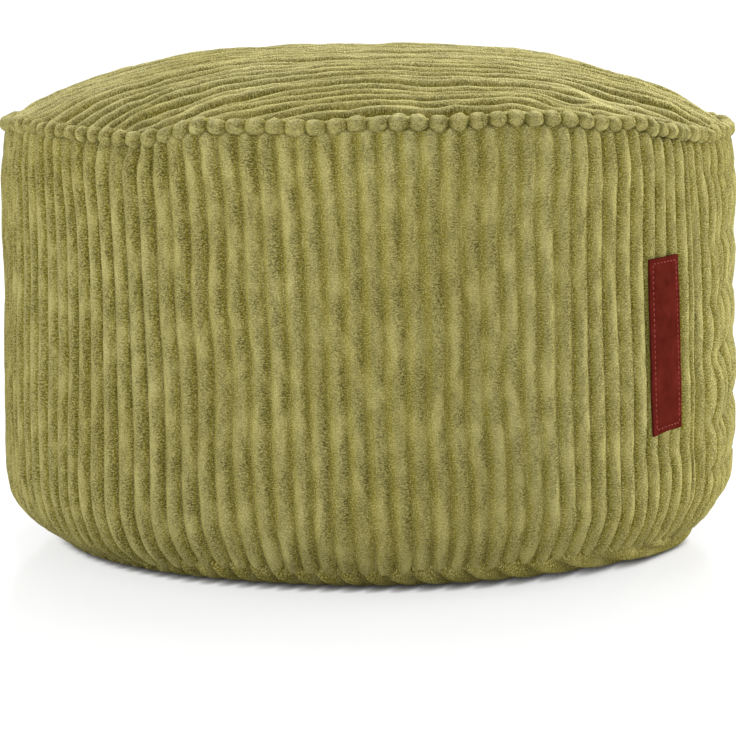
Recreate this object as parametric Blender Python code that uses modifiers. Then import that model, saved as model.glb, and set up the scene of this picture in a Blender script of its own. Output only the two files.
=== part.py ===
"""A round bean bag footstool in jumbo corduroy, built as its maker cuts and sews it.

A domed top panel, a side band and a base panel hold the loose fill between them, a welt of the
same cloth runs round the top seam, and a small leather label is sewn to the band. The cover is
filled tight, so each panel is a solid that reaches in to the middle of the fill.

Metres, +Z up. The origin is on the floor, under the middle of the stool. The front faces -Y, and
the angle round the stool is measured from the front towards +X.
"""

import math

import bmesh
import bpy
from mathutils import Matrix, Vector

# Driving sizes
RADIUS = 0.225                   # over the ribs of the side band
HEIGHT = 0.300                   # floor to the top of the crown
TOP_SEAM_HEIGHT = 0.2555         # middle of the welt, where the seam lies lowest
BOTTOM_SEAM_HEIGHT = 0.010
BOTTOM_SEAM_RADIUS = 0.199
REST_RADIUS = 0.160              # flat part of the base, on the floor at the front
GAP = 0.00035                    # between one piece and the next, where it shows
HIDDEN_GAP = 0.0015              # between the panels' fill, deep inside

# The welt is a rolled strip, and the panels meet behind it.
WELT_THICKNESS = 0.0106
WELT_RADIUS = RADIUS - 0.0055

# The crown is flat in the middle and falls away faster and faster towards the seam.
CROWN_POWER = 2.9

# The band draws in below the welt, and its lower corner is a long soft curve.
DRAW_IN_HEIGHT = 0.022
CORNER_HEIGHT = 0.0566
CORNER_FOOT_RADIUS = 0.133       # where the corner's curve would meet the floor
CORNER_POWER = 2.63

SEGMENTS = 96                    # facets round the stool
WELT_SIDES = 8

# Where the slack cloth lifts a seam or spreads the foot. Each row rises over its first two angles,
# holds, and falls over its last two (degrees), and amount is in metres.
TOP_SEAM_LIFTS = (
    {"rise": (-37, -19), "fall": (28, 54), "amount": 0.0130},
    {"rise": (124, 152), "fall": (196, 228), "amount": 0.0060},
)
BOTTOM_SEAM_LIFTS = (
    {"rise": (-36, -8), "fall": (52, 74), "amount": 0.0060},
    {"rise": (138, 162), "fall": (188, 214), "amount": 0.0030},
)
FOOT_SPREADS = (
    {"rise": (-154, -124), "fall": (-62, -32), "amount": 0.020},
    {"rise": (58, 74), "fall": (100, 122), "amount": 0.026},
    {"rise": (132, 154), "fall": (176, 200), "amount": 0.012},
)

# Soft troughs that run down over the crown to the seam: rows of
# angle (degrees), half width at the seam (metres), depth (metres)
CROWN_TROUGHS = (
    {"angle": -40, "half_width": 0.035, "depth": 0.0050},
    {"angle": 39, "half_width": 0.022, "depth": 0.0040},
    {"angle": 60, "half_width": 0.026, "depth": 0.0030},
    {"angle": 158, "half_width": 0.034, "depth": 0.0030},
    {"angle": 250, "half_width": 0.030, "depth": 0.0030},
)
TROUGH_INNER_RADIUS = 0.070      # a trough fades out here, towards the middle

# The leather label, sewn upright to the band beside the front
LABEL_WIDTH = 0.0285
LABEL_LENGTH = 0.1015
LABEL_THICKNESS = 0.0016
LABEL_ANGLE = 49.6
LABEL_MIDDLE_HEIGHT = 0.1365
LABEL_LEAN = 2.0                 # degrees, its top towards the front

CORD_COLOUR = (0.270, 0.232, 0.068)
LEATHER_COLOUR = (0.122, 0.016, 0.011)


def smooth(value):
    """0 below 0, 1 above 1, and a soft step between."""
    value = min(1.0, max(0.0, value))
    return value * value * (3 - 2 * value)


def apart(angle, other):
    """The signed angle from other to angle, in degrees, at most half a turn."""
    return (angle - other + 180) % 360 - 180


def spread(rows, angle):
    """What the rows of a table add up to at this angle, in degrees."""
    total = 0.0
    for row in rows:
        rise_start, rise_end = row["rise"]
        fall_start, fall_end = row["fall"]
        middle = (rise_end + fall_start) / 2
        place = middle + apart(angle, middle)
        risen = smooth((place - rise_start) / (rise_end - rise_start))
        fallen = smooth((place - fall_start) / (fall_end - fall_start))
        total += row["amount"] * risen * (1 - fallen)
    return total


def trough_depth(angle, radius):
    """How far the crown's troughs press in at this place."""
    total = 0.0
    for row in CROWN_TROUGHS:
        across = math.radians(apart(angle, row["angle"])) * radius
        shape = math.exp(-((across / row["half_width"]) ** 2))
        total += row["depth"] * shape
    return total * smooth((radius - TROUGH_INNER_RADIUS) / (0.6 * RADIUS - TROUGH_INNER_RADIUS))


def settled(point):
    """Where a point of the evenly turned shape lies once the slack cloth has settled."""
    radius = math.hypot(point.x, point.y)
    if radius < 1e-6:
        return point.copy()
    angle = math.degrees(math.atan2(point.x, -point.y))
    height = point.z

    seam_share = smooth((height - CORNER_HEIGHT) / (TOP_SEAM_HEIGHT - CORNER_HEIGHT))
    crown_share = smooth((HEIGHT - height) / (HEIGHT - TOP_SEAM_HEIGHT))
    rim_share = smooth((radius - 0.4 * RADIUS) / (0.5 * RADIUS))
    lift = spread(TOP_SEAM_LIFTS, angle) * seam_share * crown_share * rim_share

    low_share = smooth(height / BOTTOM_SEAM_HEIGHT)
    low_share *= smooth((CORNER_HEIGHT - height) / (CORNER_HEIGHT - BOTTOM_SEAM_HEIGHT))
    lift += spread(BOTTOM_SEAM_LIFTS, angle) * low_share * rim_share

    above_seam = (height - TOP_SEAM_HEIGHT) / (0.35 * (HEIGHT - TOP_SEAM_HEIGHT))
    lift -= trough_depth(angle, radius) * smooth(above_seam)

    foot_share = 1 - smooth(height / BOTTOM_SEAM_HEIGHT)
    foot_share *= smooth(radius / REST_RADIUS)
    out = spread(FOOT_SPREADS, angle) * foot_share

    turned = Matrix.Rotation(math.radians(angle), 3, "Z") @ Vector((0, -(radius + out), 0))
    return Vector((turned.x, turned.y, height + lift))


def crown_height(radius):
    """Height of the top panel at this radius."""
    return HEIGHT - (HEIGHT - TOP_SEAM_HEIGHT) * (radius / RADIUS) ** CROWN_POWER


def corner_point(turn):
    """(radius, height) on the band's lower corner, from 0 at the floor to 1 where the side begins."""
    angle = turn * math.pi / 2
    reach = math.sin(angle) ** (2 / CORNER_POWER)
    drop = math.cos(angle) ** (2 / CORNER_POWER)
    radius = CORNER_FOOT_RADIUS + (RADIUS - CORNER_FOOT_RADIUS) * reach
    return radius, CORNER_HEIGHT * (1 - drop)


def parting_face(height, rim, sink=0.0):
    """(radius, height) points from the middle to the rim of a face where two panels' fill meets.

    Away from the rim it sinks by this much, so that two such faces stay clear of each other."""
    points = [(0.0, height + sink)]
    for share in (0.5, 0.62, 0.74, 0.84):
        points.append((RADIUS * share, height + sink * (1 - smooth((share - 0.5) / 0.36))))
    points.append((rim, height))
    return points


def turned_solid(name, profile):
    """A closed solid of revolution: a (radius, height) profile that runs down its outer side."""
    mesh = bpy.data.meshes.new(name + "_profile")
    points = [(radius, 0.0, height) for radius, height in profile]
    mesh.from_pydata(points, [(i, i + 1) for i in range(len(points) - 1)], [])
    guide = bpy.data.objects.new(name + "_profile", mesh)
    bpy.context.scene.collection.objects.link(guide)
    screw = guide.modifiers.new("turn", "SCREW")
    screw.steps = SEGMENTS
    screw.render_steps = SEGMENTS
    screw.use_merge_vertices = True
    screw.merge_threshold = 0.00001
    bpy.context.view_layer.update()
    graph = bpy.context.evaluated_depsgraph_get()
    turned = bpy.data.meshes.new_from_object(guide.evaluated_get(graph))
    turned.name = name
    bpy.data.objects.remove(guide)

    shape = bmesh.new()
    shape.from_mesh(turned)
    bmesh.ops.remove_doubles(shape, verts=shape.verts, dist=0.00001)
    shape.to_mesh(turned)
    shape.free()
    return turned


def add_piece(name, mesh, material, collection):
    """Settles a mesh, and puts it in the stool's collection as one named object."""
    for vertex in mesh.vertices:
        vertex.co = settled(vertex.co)
    mesh.shade_smooth()
    mesh.set_sharp_from_angle(angle=math.radians(40))
    mesh.materials.clear()
    mesh.materials.append(material)
    piece = bpy.data.objects.new(name, mesh)
    collection.objects.link(piece)
    return piece


def add_material(name, colour, roughness):
    """A plain finish, none of them metal."""
    material = bpy.data.materials.new(name)
    material.use_nodes = True
    shader = material.node_tree.nodes["Principled BSDF"]
    shader.inputs["Base Color"].default_value = (*colour, 1.0)
    shader.inputs["Roughness"].default_value = roughness
    shader.inputs["Metallic"].default_value = 0.0
    return material


def side_band_mesh():
    """The band with the fill behind it: flat under the top panel, drawn in at both seams."""
    under_welt = TOP_SEAM_HEIGHT - WELT_THICKNESS / 2 - GAP
    shoulder = WELT_RADIUS + 0.0015
    profile = parting_face(under_welt, shoulder, -HIDDEN_GAP)
    for step in range(1, 6):
        turn = step / 5
        radius = shoulder + (RADIUS - shoulder) * math.sin(turn * math.pi / 2) ** 0.8
        profile.append((radius, under_welt - DRAW_IN_HEIGHT * turn))
    side_top = under_welt - DRAW_IN_HEIGHT
    for step in range(1, 4):
        profile.append((RADIUS, side_top + (CORNER_HEIGHT - side_top) * step / 4))
    for turn in (1.0, 0.86, 0.73, 0.62, 0.53):
        profile.append(corner_point(turn))
    base = parting_face(BOTTOM_SEAM_HEIGHT + GAP, BOTTOM_SEAM_RADIUS, HIDDEN_GAP)
    return turned_solid("side_band", profile + base[::-1])


def top_panel_mesh():
    """The crown: it rises from behind the welt, and lies on the band's fill."""
    seat = TOP_SEAM_HEIGHT - WELT_THICKNESS / 2
    rim = WELT_RADIUS - WELT_THICKNESS / 2 - GAP
    profile = [(0.0, HEIGHT)]
    for share in (0.2, 0.4, 0.55, 0.68, 0.78, 0.86, 0.92, 0.97):
        profile.append((rim * share, crown_height(rim * share)))
    profile.append((rim, crown_height(rim) - 0.0006))
    profile.append((rim, TOP_SEAM_HEIGHT))
    return turned_solid("top_panel", profile + parting_face(seat, rim)[::-1])


def base_panel_mesh():
    """The base: a shallow dish that curves up from the floor to the bottom seam."""
    profile = parting_face(BOTTOM_SEAM_HEIGHT, BOTTOM_SEAM_RADIUS)
    rise = BOTTOM_SEAM_HEIGHT
    run = BOTTOM_SEAM_RADIUS - REST_RADIUS
    for turn in (0.8, 0.6, 0.4, 0.2):
        angle = turn * math.pi / 2
        profile.append((REST_RADIUS + run * math.sin(angle), rise * (1 - math.cos(angle))))
    profile.append((REST_RADIUS, 0.0))
    profile.append((0.5 * RADIUS, 0.0))
    profile.append((0.0, 0.0))
    return turned_solid("base_panel", profile)


def welt_mesh():
    """The rolled strip of cloth round the top seam."""
    shape = bmesh.new()
    half = WELT_THICKNESS / 2
    bmesh.ops.create_circle(
        shape, segments=WELT_SIDES, radius=half, matrix=Matrix.Rotation(math.pi / 2, 4, "X")
    )
    bmesh.ops.translate(shape, verts=shape.verts, vec=(WELT_RADIUS, 0, TOP_SEAM_HEIGHT))
    bmesh.ops.spin(
        shape, geom=shape.edges[:], cent=(0, 0, 0), axis=(0, 0, 1), angle=2 * math.pi,
        steps=SEGMENTS, use_merge=True,
    )
    bmesh.ops.remove_doubles(shape, verts=shape.verts, dist=0.00001)
    bmesh.ops.recalc_face_normals(shape, faces=shape.faces)
    mesh = bpy.data.meshes.new("top_welt")
    shape.to_mesh(mesh)
    shape.free()
    return mesh


def add_label(material, collection):
    """The leather label: a flat strip bent round the band, given its thickness outwards."""
    shape = bmesh.new()
    bmesh.ops.create_grid(shape, x_segments=6, y_segments=10, size=0.5)
    lean = Matrix.Rotation(math.radians(LABEL_LEAN), 2)
    for vertex in shape.verts:
        across, up = lean @ Vector((vertex.co.x * LABEL_WIDTH, vertex.co.y * LABEL_LENGTH))
        reach = RADIUS + GAP
        angle = math.radians(LABEL_ANGLE) + across / reach
        height = LABEL_MIDDLE_HEIGHT + up
        vertex.co = (reach * math.sin(angle), -reach * math.cos(angle), height)
    bmesh.ops.recalc_face_normals(shape, faces=shape.faces)
    outward = Vector((math.sin(math.radians(LABEL_ANGLE)), -math.cos(math.radians(LABEL_ANGLE)), 0))
    shape.faces.ensure_lookup_table()
    if shape.faces[0].normal.dot(outward) < 0:
        bmesh.ops.reverse_faces(shape, faces=shape.faces)
    mesh = bpy.data.meshes.new("label")
    shape.to_mesh(mesh)
    shape.free()
    mesh.materials.append(material)
    label = bpy.data.objects.new("label", mesh)
    collection.objects.link(label)
    leather = label.modifiers.new("leather", "SOLIDIFY")
    leather.thickness = LABEL_THICKNESS
    leather.offset = 1.0
    return label


def build():
    for leftover in list(bpy.data.objects):
        bpy.data.objects.remove(leftover)
    stool = bpy.data.collections.new("bean_bag_footstool")
    bpy.context.scene.collection.children.link(stool)

    cord = add_material("jumbo_corduroy", CORD_COLOUR, 0.9)
    leather = add_material("label_leather", LEATHER_COLOUR, 0.5)
    add_piece("side_band", side_band_mesh(), cord, stool)
    add_piece("top_panel", top_panel_mesh(), cord, stool)
    add_piece("base_panel", base_panel_mesh(), cord, stool)
    add_piece("top_welt", welt_mesh(), cord, stool)
    add_label(leather, stool)


build()
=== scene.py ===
# %% [markdown]
# # A bean bag footstool in jumbo corduroy
#
# The real footstool is a round cover, sewn tight round a fill of loose beads. It has a top panel, a
# side band and a base panel, all cut from one roll of wide-ribbed corduroy. A folded strip of the
# same cloth is caught in the top seam as a welt, and a small leather label is sewn to the band.
#
# The look of such a thing is in its ribs. So this lesson follows the maker: it fills the body first,
# with a cloth simulation, then lays each cut panel on that body, and gives the panel its ribs along
# the direction in which the cloth was cut. The pile, its sheen and its cracks come last, from nodes.
#
# Lengths are metres, +Z is up, and the origin is on the floor under the middle. The front faces -Y.
# Angles round the stool are degrees from the front, growing towards +X.

import math

import bpy
import numpy as np
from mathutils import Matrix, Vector
from mathutils.kdtree import KDTree


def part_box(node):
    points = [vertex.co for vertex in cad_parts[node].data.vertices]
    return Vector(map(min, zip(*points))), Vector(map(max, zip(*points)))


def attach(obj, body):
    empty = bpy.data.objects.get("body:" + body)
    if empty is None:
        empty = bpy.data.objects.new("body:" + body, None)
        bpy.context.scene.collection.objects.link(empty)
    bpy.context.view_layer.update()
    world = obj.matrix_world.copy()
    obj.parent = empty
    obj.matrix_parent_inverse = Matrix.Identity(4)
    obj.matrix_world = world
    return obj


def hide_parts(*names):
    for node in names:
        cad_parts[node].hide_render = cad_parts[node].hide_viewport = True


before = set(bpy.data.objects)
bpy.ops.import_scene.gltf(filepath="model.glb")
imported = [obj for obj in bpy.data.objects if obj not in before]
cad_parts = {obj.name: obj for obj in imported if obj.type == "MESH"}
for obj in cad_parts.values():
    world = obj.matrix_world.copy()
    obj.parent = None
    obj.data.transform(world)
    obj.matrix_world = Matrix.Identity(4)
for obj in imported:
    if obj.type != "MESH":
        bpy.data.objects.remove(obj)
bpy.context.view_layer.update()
print("packed nodes:", ", ".join(sorted(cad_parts)))

# %% [markdown]
# ## Sizes
#
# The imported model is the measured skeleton, so every size that it holds is read from it. The rest are
# a dressmaker's numbers: how many ribs go round, how tall they stand, and how thick the welt is. All
# of them are kept here, so that one change reaches every panel.

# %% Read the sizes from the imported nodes
MM = 0.001
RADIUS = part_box("side_band")[1].x - 1.8 * MM   # over the ribs, which the folds raise a bit more
CROWN_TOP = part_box("top_panel")[1].z
WELT_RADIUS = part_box("top_welt")[1].x - 6.0 * MM
WELT_HALF = 4.9 * MM                       # half the thickness of a bead
RIM_RADIUS = WELT_RADIUS - 3.2 * MM        # where the crown dives in behind the welt

RIB_COUNT = 125                            # the last one is only half a rib, cut at the closing seam
RIB_TURN = 360 / (RIB_COUNT - 0.5)         # degrees from one rib to the next
RIB_PITCH = 2 * math.pi * RADIUS / (RIB_COUNT - 0.5)
RIB_HEIGHT = 2.9 * MM
print(f"radius {RADIUS / MM:.1f} mm, crown {CROWN_TOP / MM:.1f} mm, ribs {RIB_PITCH / MM:.2f} mm apart")

# %% [markdown]
# ## Where the seams lie
#
# A bean bag never sits dead level. The fill pushes the front up and lets both sides sag, so the top
# seam drops beside the front, and the foot spreads where the fill has run. A short table says where
# each seam lies at a few angles, and one function softens it into a line all the way round.

# %% The seams, angle by angle
def table(names, *rows):
    """Rows of numbers as dictionaries, under these names."""
    return [dict(zip(names.split(), row)) for row in rows]


# Angle in degrees, heights of the top and bottom seams and radius of the foot in millimetres
SEAMS = table("angle top bottom foot",
    (-180, 261.0, 13.0, 168),
    (-145, 255.5, 11.5, 172),
    (-110, 252.0, 9.5, 178),
    (-85, 254.0, 8.5, 182),
    (-74, 257.8, 8.2, 181),
    (-62, 259.4, 8.0, 178),
    (-50, 258.0, 9.0, 167),
    (-41, 258.0, 10.3, 162),
    (-36.5, 256.3, 11.4, 158),
    (-31, 261.6, 14.2, 154),
    (-26, 266.4, 16.2, 151),
    (-20, 266.9, 16.5, 151),
    (-8, 267.2, 15.7, 151),
    (0, 269.6, 15.2, 151),
    (11, 269.3, 16.7, 151),
    (23, 271.2, 18.2, 151),
    (31, 269.6, 18.7, 151),
    (37, 266.0, 19.2, 151),
    (45, 265.6, 18.5, 155),
    (51, 258.6, 17.1, 160),
    (56, 257.4, 16.0, 166),
    (61, 253.6, 14.0, 178),
    (73, 253.4, 13.5, 190),
    (86, 251.5, 12.5, 190),
    (110, 251.0, 10.0, 182),
    (145, 255.5, 12.0, 167),
)
SOFTEN = 5                                 # degrees over which a table's corners are rounded


def wrap(angle):
    """The same angle, between -180 and 180 degrees."""
    return (np.asarray(angle, float) + 180) % 360 - 180


def around(rows, column, angle):
    """One column of a table, softened, at any angle round the stool."""
    turn = np.arange(-540, 541)
    places = np.concatenate([[row["angle"] + lap for row in rows] for lap in (-360, 0, 360)])
    line = np.interp(turn, places, np.tile([row[column] for row in rows], 3))
    window = np.hanning(SOFTEN + 2)
    soft = np.convolve(line, window / window.sum(), mode="same")
    return np.interp(wrap(angle), turn, soft)


def step(value):
    """0 below 0, 1 above 1, and a soft step between."""
    value = np.clip(value, 0.0, 1.0)
    return value * value * (3 - 2 * value)


print("top seam at the front:", around(SEAMS, "top", 0), "mm")

# %% [markdown]
# ## Unevenness that repeats the same way each time
#
# Nothing on a soft thing is quite regular. A sum of slow waves in seeded random directions gives a
# smooth unevenness in space. It has no joins, so it runs on round the stool from one panel to the next.

# %% A soft unevenness in space
WAVES = 9
WAVES_REACH = 3.2                          # one and a half times the usual size of their sum


def uneven(points, wavelength, seed):
    """A smooth field of about -1 to 1 over points, whose bumps are about this wavelength."""
    draw = np.random.RandomState(seed)
    total = np.zeros(points.shape[:-1])
    for _ in range(WAVES):
        direction = draw.normal(size=3)
        direction /= np.linalg.norm(direction)
        length = wavelength * draw.uniform(0.7, 1.5)
        total += np.sin(points @ direction * (2 * math.pi / length) + draw.uniform(0, 2 * math.pi))
    return total / WAVES_REACH


def on_circle(radius, angle, height):
    """Points in space from radius, angle and height."""
    turn = np.radians(angle)
    parts = np.broadcast_arrays(radius * np.sin(turn), -radius * np.cos(turn), height)
    return np.stack(parts, axis=-1)


sample = uneven(on_circle(RADIUS, np.arange(360.0), 100 * MM), 80 * MM, 1)
print(f"unevenness runs from {sample.min():.2f} to {sample.max():.2f}")

# %% [markdown]
# ## Filling the body
#
# A maker sews the empty cover and pours the beads in. The cover then swells between its seams, which
# hold it back. Here the three packed panels are copied, joined and remeshed into one skin, a little
# smaller than the finished stool. Blender's cloth simulation blows it up with its seams pinned. What
# it moves, at most a few millimetres, is the relief that the panels take over further down.

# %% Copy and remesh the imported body
def deselect():
    bpy.ops.object.select_all(action="DESELECT")


def pick(piece):
    """Makes one piece the only selected and active one."""
    deselect()
    piece.select_set(True)
    bpy.context.view_layer.objects.active = piece


def join(pieces):
    """Joins pieces into the first one, and returns it."""
    deselect()
    for piece in pieces:
        piece.select_set(True)
    bpy.context.view_layer.objects.active = pieces[0]
    bpy.ops.object.join()
    return pieces[0]


def apply_modifier(piece, kind, **settings):
    """Adds a modifier with these settings, and applies it."""
    pick(piece)
    modifier = piece.modifiers.new(kind.lower(), kind)
    for name, value in settings.items():
        setattr(modifier, name, value)
    bpy.ops.object.modifier_apply(modifier=modifier.name)


def body_skin():
    """One closed skin round the joined panels, shrunk by the height of a rib."""
    panels = []
    for name in ("side_band", "top_panel", "base_panel"):
        panel = bpy.data.objects.new("filling_" + name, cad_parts[name].data.copy())
        bpy.context.scene.collection.objects.link(panel)
        panels.append(panel)
    skin = join(panels)
    apply_modifier(skin, "WELD", merge_threshold=0.01 * MM)
    apply_modifier(skin, "REMESH", mode="VOXEL", voxel_size=6 * MM)
    apply_modifier(skin, "SMOOTH", factor=0.5, iterations=6)
    apply_modifier(skin, "DISPLACE", strength=-RIB_HEIGHT, mid_level=0.0)
    return skin


skin = body_skin()
print(f"body skin: {len(skin.data.vertices)} points")

# %% Swell it with its seams pinned
PIN_REACH = 9 * MM
BOTTOM_SEAM_RADIUS = 200 * MM
MOST_SWELL = 6 * MM


def positions(mesh):
    """Every point of a mesh, one in each row."""
    flat = np.empty(len(mesh.vertices) * 3)
    mesh.vertices.foreach_get("co", flat)
    return flat.reshape(-1, 3)


def angle_at(x, y):
    """Angle round the stool of a place in plan."""
    return np.degrees(np.arctan2(x, -y))


def pin_weights(points):
    """1 on and near the seams and the floor, fading out over the pins' reach."""
    angle = angle_at(points[:, 0], points[:, 1])
    radius = np.hypot(points[:, 0], points[:, 1])
    top_gap = np.hypot(radius - WELT_RADIUS, points[:, 2] - around(SEAMS, "top", angle) * MM)
    low_gap = np.hypot(radius - BOTTOM_SEAM_RADIUS, points[:, 2] - around(SEAMS, "bottom", angle) * MM)
    floor_gap = np.where(radius < around(SEAMS, "foot", angle) * MM, points[:, 2], 1.0)
    nearest = np.minimum(np.minimum(top_gap, low_gap), floor_gap)
    return 1 - step((nearest - 0.4 * PIN_REACH) / PIN_REACH)


def swell(skin, frames=20):
    """Runs the cloth simulation, and returns where each point was and how far it moved."""
    start = positions(skin.data)
    pins = skin.vertex_groups.new(name="sewn")
    for index, weight in enumerate(pin_weights(start)):
        if weight > 0.01:
            pins.add([index], float(weight), "REPLACE")
    cloth = skin.modifiers.new("fill", "CLOTH")
    settings = cloth.settings
    settings.quality = 6
    settings.mass = 0.4
    settings.tension_stiffness = 12
    settings.compression_stiffness = 12
    settings.shear_stiffness = 4
    settings.bending_stiffness = 0.6
    settings.use_pressure = True
    settings.uniform_pressure_force = 4.0
    settings.shrink_min = -0.035           # the cover has a little more cloth than the form needs
    settings.vertex_group_mass = "sewn"
    settings.effector_weights.gravity = 0
    scene = bpy.context.scene
    for number in range(1, frames + 1):
        scene.frame_set(number)
    pick(skin)
    bpy.ops.object.modifier_apply(modifier="fill")
    scene.frame_set(1)
    moved = positions(skin.data) - start
    length = np.linalg.norm(moved, axis=1, keepdims=True)
    return start, moved * np.minimum(1, MOST_SWELL / np.maximum(length, 1e-9))


skin_points, skin_moves = swell(skin)
bpy.data.objects.remove(skin)
print(f"the fill moved the cover by up to {np.abs(skin_moves).max() / MM:.1f} mm")

# %% [markdown]
# ## Taking over the relief
#
# The panels below have far more points than the simulated skin. So the band and the crown each look up
# the relief on a coarse grid, from the nearest few points of the skin, and read between the grid's
# points. The base rests on the floor and needs none.

# %% Relief looked up from the skin
KEEP_RELIEF = 0.75                         # share of the simulated relief that the ribs let through
NEAR_POINTS = 6
skin_tree = KDTree(len(skin_points))
for index, point in enumerate(skin_points):
    skin_tree.insert(point, index)
skin_tree.balance()
print(f"the relief is looked up from {len(skin_points)} points")


def relief_at(points, outward):
    """How far the fill pushed the cover along outward, near each of these points."""
    total = np.zeros(points.shape[:-1])
    for place in np.ndindex(total.shape):
        found = skin_tree.find_n(points[place], NEAR_POINTS)
        shares = np.array([1 / (gap + 2 * MM) ** 2 for _, _, gap in found])
        moves = skin_moves[[index for _, index, _ in found]]
        total[place] = (moves @ outward[place] * shares).sum() / shares.sum()
    return KEEP_RELIEF * total


def read_between(grid, row, column):
    """Values of a coarse grid at fractional places, read between its four nearest points."""
    row = np.clip(row, 0, grid.shape[0] - 1.001)
    column = np.clip(column, 0, grid.shape[1] - 1.001)
    low, left = row.astype(int), column.astype(int)
    up, right = row - low, column - left
    below = grid[low, left] * (1 - right) + grid[low, left + 1] * right
    above = grid[low + 1, left] * (1 - right) + grid[low + 1, left + 1] * right
    return below * (1 - up) + above * up


# %% [markdown]
# ## The shape of the side band
#
# The band stands upright, turns in under the welt, and rolls under in a long soft corner down to the
# bottom seam. Ribs stiffen it, so it bulges hardly at all. The corner is part of a superellipse, which
# a stuffed edge looks like: flatter than a circle along the side, and then quickly round.

# %% The band's outline, and how its ribs lean
CORNER_HEIGHT = 56.6 * MM
CORNER_FOOT_RADIUS = 133 * MM
CORNER_POWER = 2.63
SEAM_DROP = 3.2 * MM                       # from the middle of the welt down to the ribs' ends
SHOULDER_DEPTH = 2.2 * MM                  # how far the band draws in under the welt
SHOULDER_REACH = 22 * MM

# Where the slack cloth pulls the ribs sideways: degrees at the bottom seam, near the top, and at
# the top seam. Where the cloth is short, its ribs are squeezed together: tight, from 0 to 1
LEANS = table("angle low high top tight",
    (-180, 0.0, 0.0, 0.0, 0.45),
    (-110, 0.0, 0.0, 0.0, 0.45),
    (-75, -0.2, 0.0, -0.4, 0.50),
    (-60, -0.5, -0.2, -0.9, 0.75),
    (-48, -0.3, -0.4, -1.5, 1.00),
    (-36, 0.2, -0.7, -2.1, 1.00),
    (-24, 0.8, -0.8, -2.3, 0.75),
    (0, 1.3, -0.8, -1.6, 0.05),
    (24, 1.2, -0.8, -1.2, 0.35),
    (36, 0.8, -0.6, -1.0, 0.80),
    (48, 1.5, -0.3, -1.6, 1.00),
    (60, 2.2, -0.8, -3.2, 1.00),
    (76, 1.4, -0.5, -2.2, 1.50),
    (95, 0.4, 0.0, -0.8, 1.50),
    (130, 0.0, 0.0, 0.0, 0.45),
)


def band_radius(angle, height):
    """Radius over the ribs' foot, before folds and relief."""
    rise = np.clip(1 - height / CORNER_HEIGHT, 0, 1) ** CORNER_POWER
    corner = CORNER_FOOT_RADIUS + (RADIUS - CORNER_FOOT_RADIUS) * (1 - rise) ** (1 / CORNER_POWER)
    below = around(SEAMS, "top", angle) * MM - SEAM_DROP - height
    shoulder = 1 - np.sqrt(np.clip(below / SHOULDER_REACH, 0, 1) ** 0.9)
    return corner - SHOULDER_DEPTH * shoulder - RIB_HEIGHT


def lean(angle, height):
    """How far a rib has been pulled sideways, in degrees: low, near the top, and at the seam."""
    low = around(LEANS, "low", angle) * np.clip((130 * MM - height) / (115 * MM), 0, 1) ** 1.4
    high = around(LEANS, "high", angle)
    top = around(LEANS, "top", angle)
    upper = high * step((height - 120 * MM) / (85 * MM))
    return low + upper + (top - high) * np.clip((height - 190 * MM) / (70 * MM), 0, 1) ** 1.5


def tightness(angle, height):
    """How tightly the ribs are squeezed together: it raises them, closes their valleys, and paints the
    valleys darker as painted shade.
    """
    drawn_in = 0.9 * step((62 * MM - height) / (45 * MM))
    return np.maximum(around(LEANS, "tight", angle), drawn_in)


print(f"band at half height: {band_radius(0.0, 150 * MM) / MM:.1f} mm")

# %% [markdown]
# ## Folds beside the closing seam
#
# The band is one long strip. Its two ends meet in an upright seam beside the label, and that seam is
# a little shorter than the cloth beyond it. So the cloth there gathers into rounded folds, one above
# the other, with a sharp crease between each two. Every rib steps in and out as it crosses them.

# %% The closing seam's groove, and the gathers beyond it
CLOSING_ANGLE = 59.3
GROOVE_DEPTH = 1.1 * MM
GROOVE_HALF = 0.6                          # degrees
GATHER_SWAY = 0.85                         # degrees that a fold pushes a rib sideways

# The creases from the floor up, and how far the fold above each one stands out, in millimetres
GATHERS = table("crease fold",
    (8, 0.8),
    (31, 2.1),
    (55, 3.4),
    (86, 3.6),
    (125, 2.6),
    (156, 1.9),
    (190, 1.5),
    (229, 1.0),
    (262, 0.0),
)


def gather_shape(angle, height):
    """How far the folds stand out, at full strength: rounded, with sharp creases that slant a bit."""
    past = wrap(angle - CLOSING_ANGLE)
    slant = 0.22 * (past - 8) + 3.0 * np.sin(past / 5.5 + height / (30 * MM))
    slant = slant + 1.6 * np.sin(past / 2.3 + 1)
    level = np.clip(height / MM - slant, 8.1, 261.9)
    creases = np.array([row["crease"] for row in GATHERS], float)
    folds = np.array([row["fold"] for row in GATHERS])
    place = np.searchsorted(creases, level) - 1
    share = (level - creases[place]) / (creases[place + 1] - creases[place])
    return folds[place] * MM * (4 * share * (1 - share)) ** 0.7


def gather_share(angle):
    """1 well past the closing seam, fading out further round, and just before the seam."""
    past = wrap(angle - CLOSING_ANGLE)
    return step((past + 1) / 9) * (1 - step((past - 20) / 36))


def band_folds(angle, height):
    """How far the folds and the groove move the band outwards."""
    past = wrap(angle - CLOSING_ANGLE)
    gathers = gather_shape(angle, height) * gather_share(angle)
    stitched = 0.25 * MM * np.sin(2 * math.pi * height / (7 * MM))
    return gathers - (GROOVE_DEPTH + stitched) * np.exp(-((past / GROOVE_HALF) ** 2))


print(f"gathers: {len(GATHERS) - 1} folds up the band")

# %% [markdown]
# ## One rib
#
# A rib of jumbo corduroy is a thick ridge of cut pile. It is round on top and nearly upright at its
# sides, and only a narrow line of bare ground cloth shows between two ribs. Ten columns of points are
# enough for one rib, if most of them stand near the valley, where the surface turns quickest.

# %% The section of a rib
RIB_COLUMNS = np.array([0.0, 0.055, 0.12, 0.22, 0.35, 0.5, 0.65, 0.78, 0.88, 0.945])
VALLEY = 0.10                              # share of the pitch that is bare ground cloth


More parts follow.
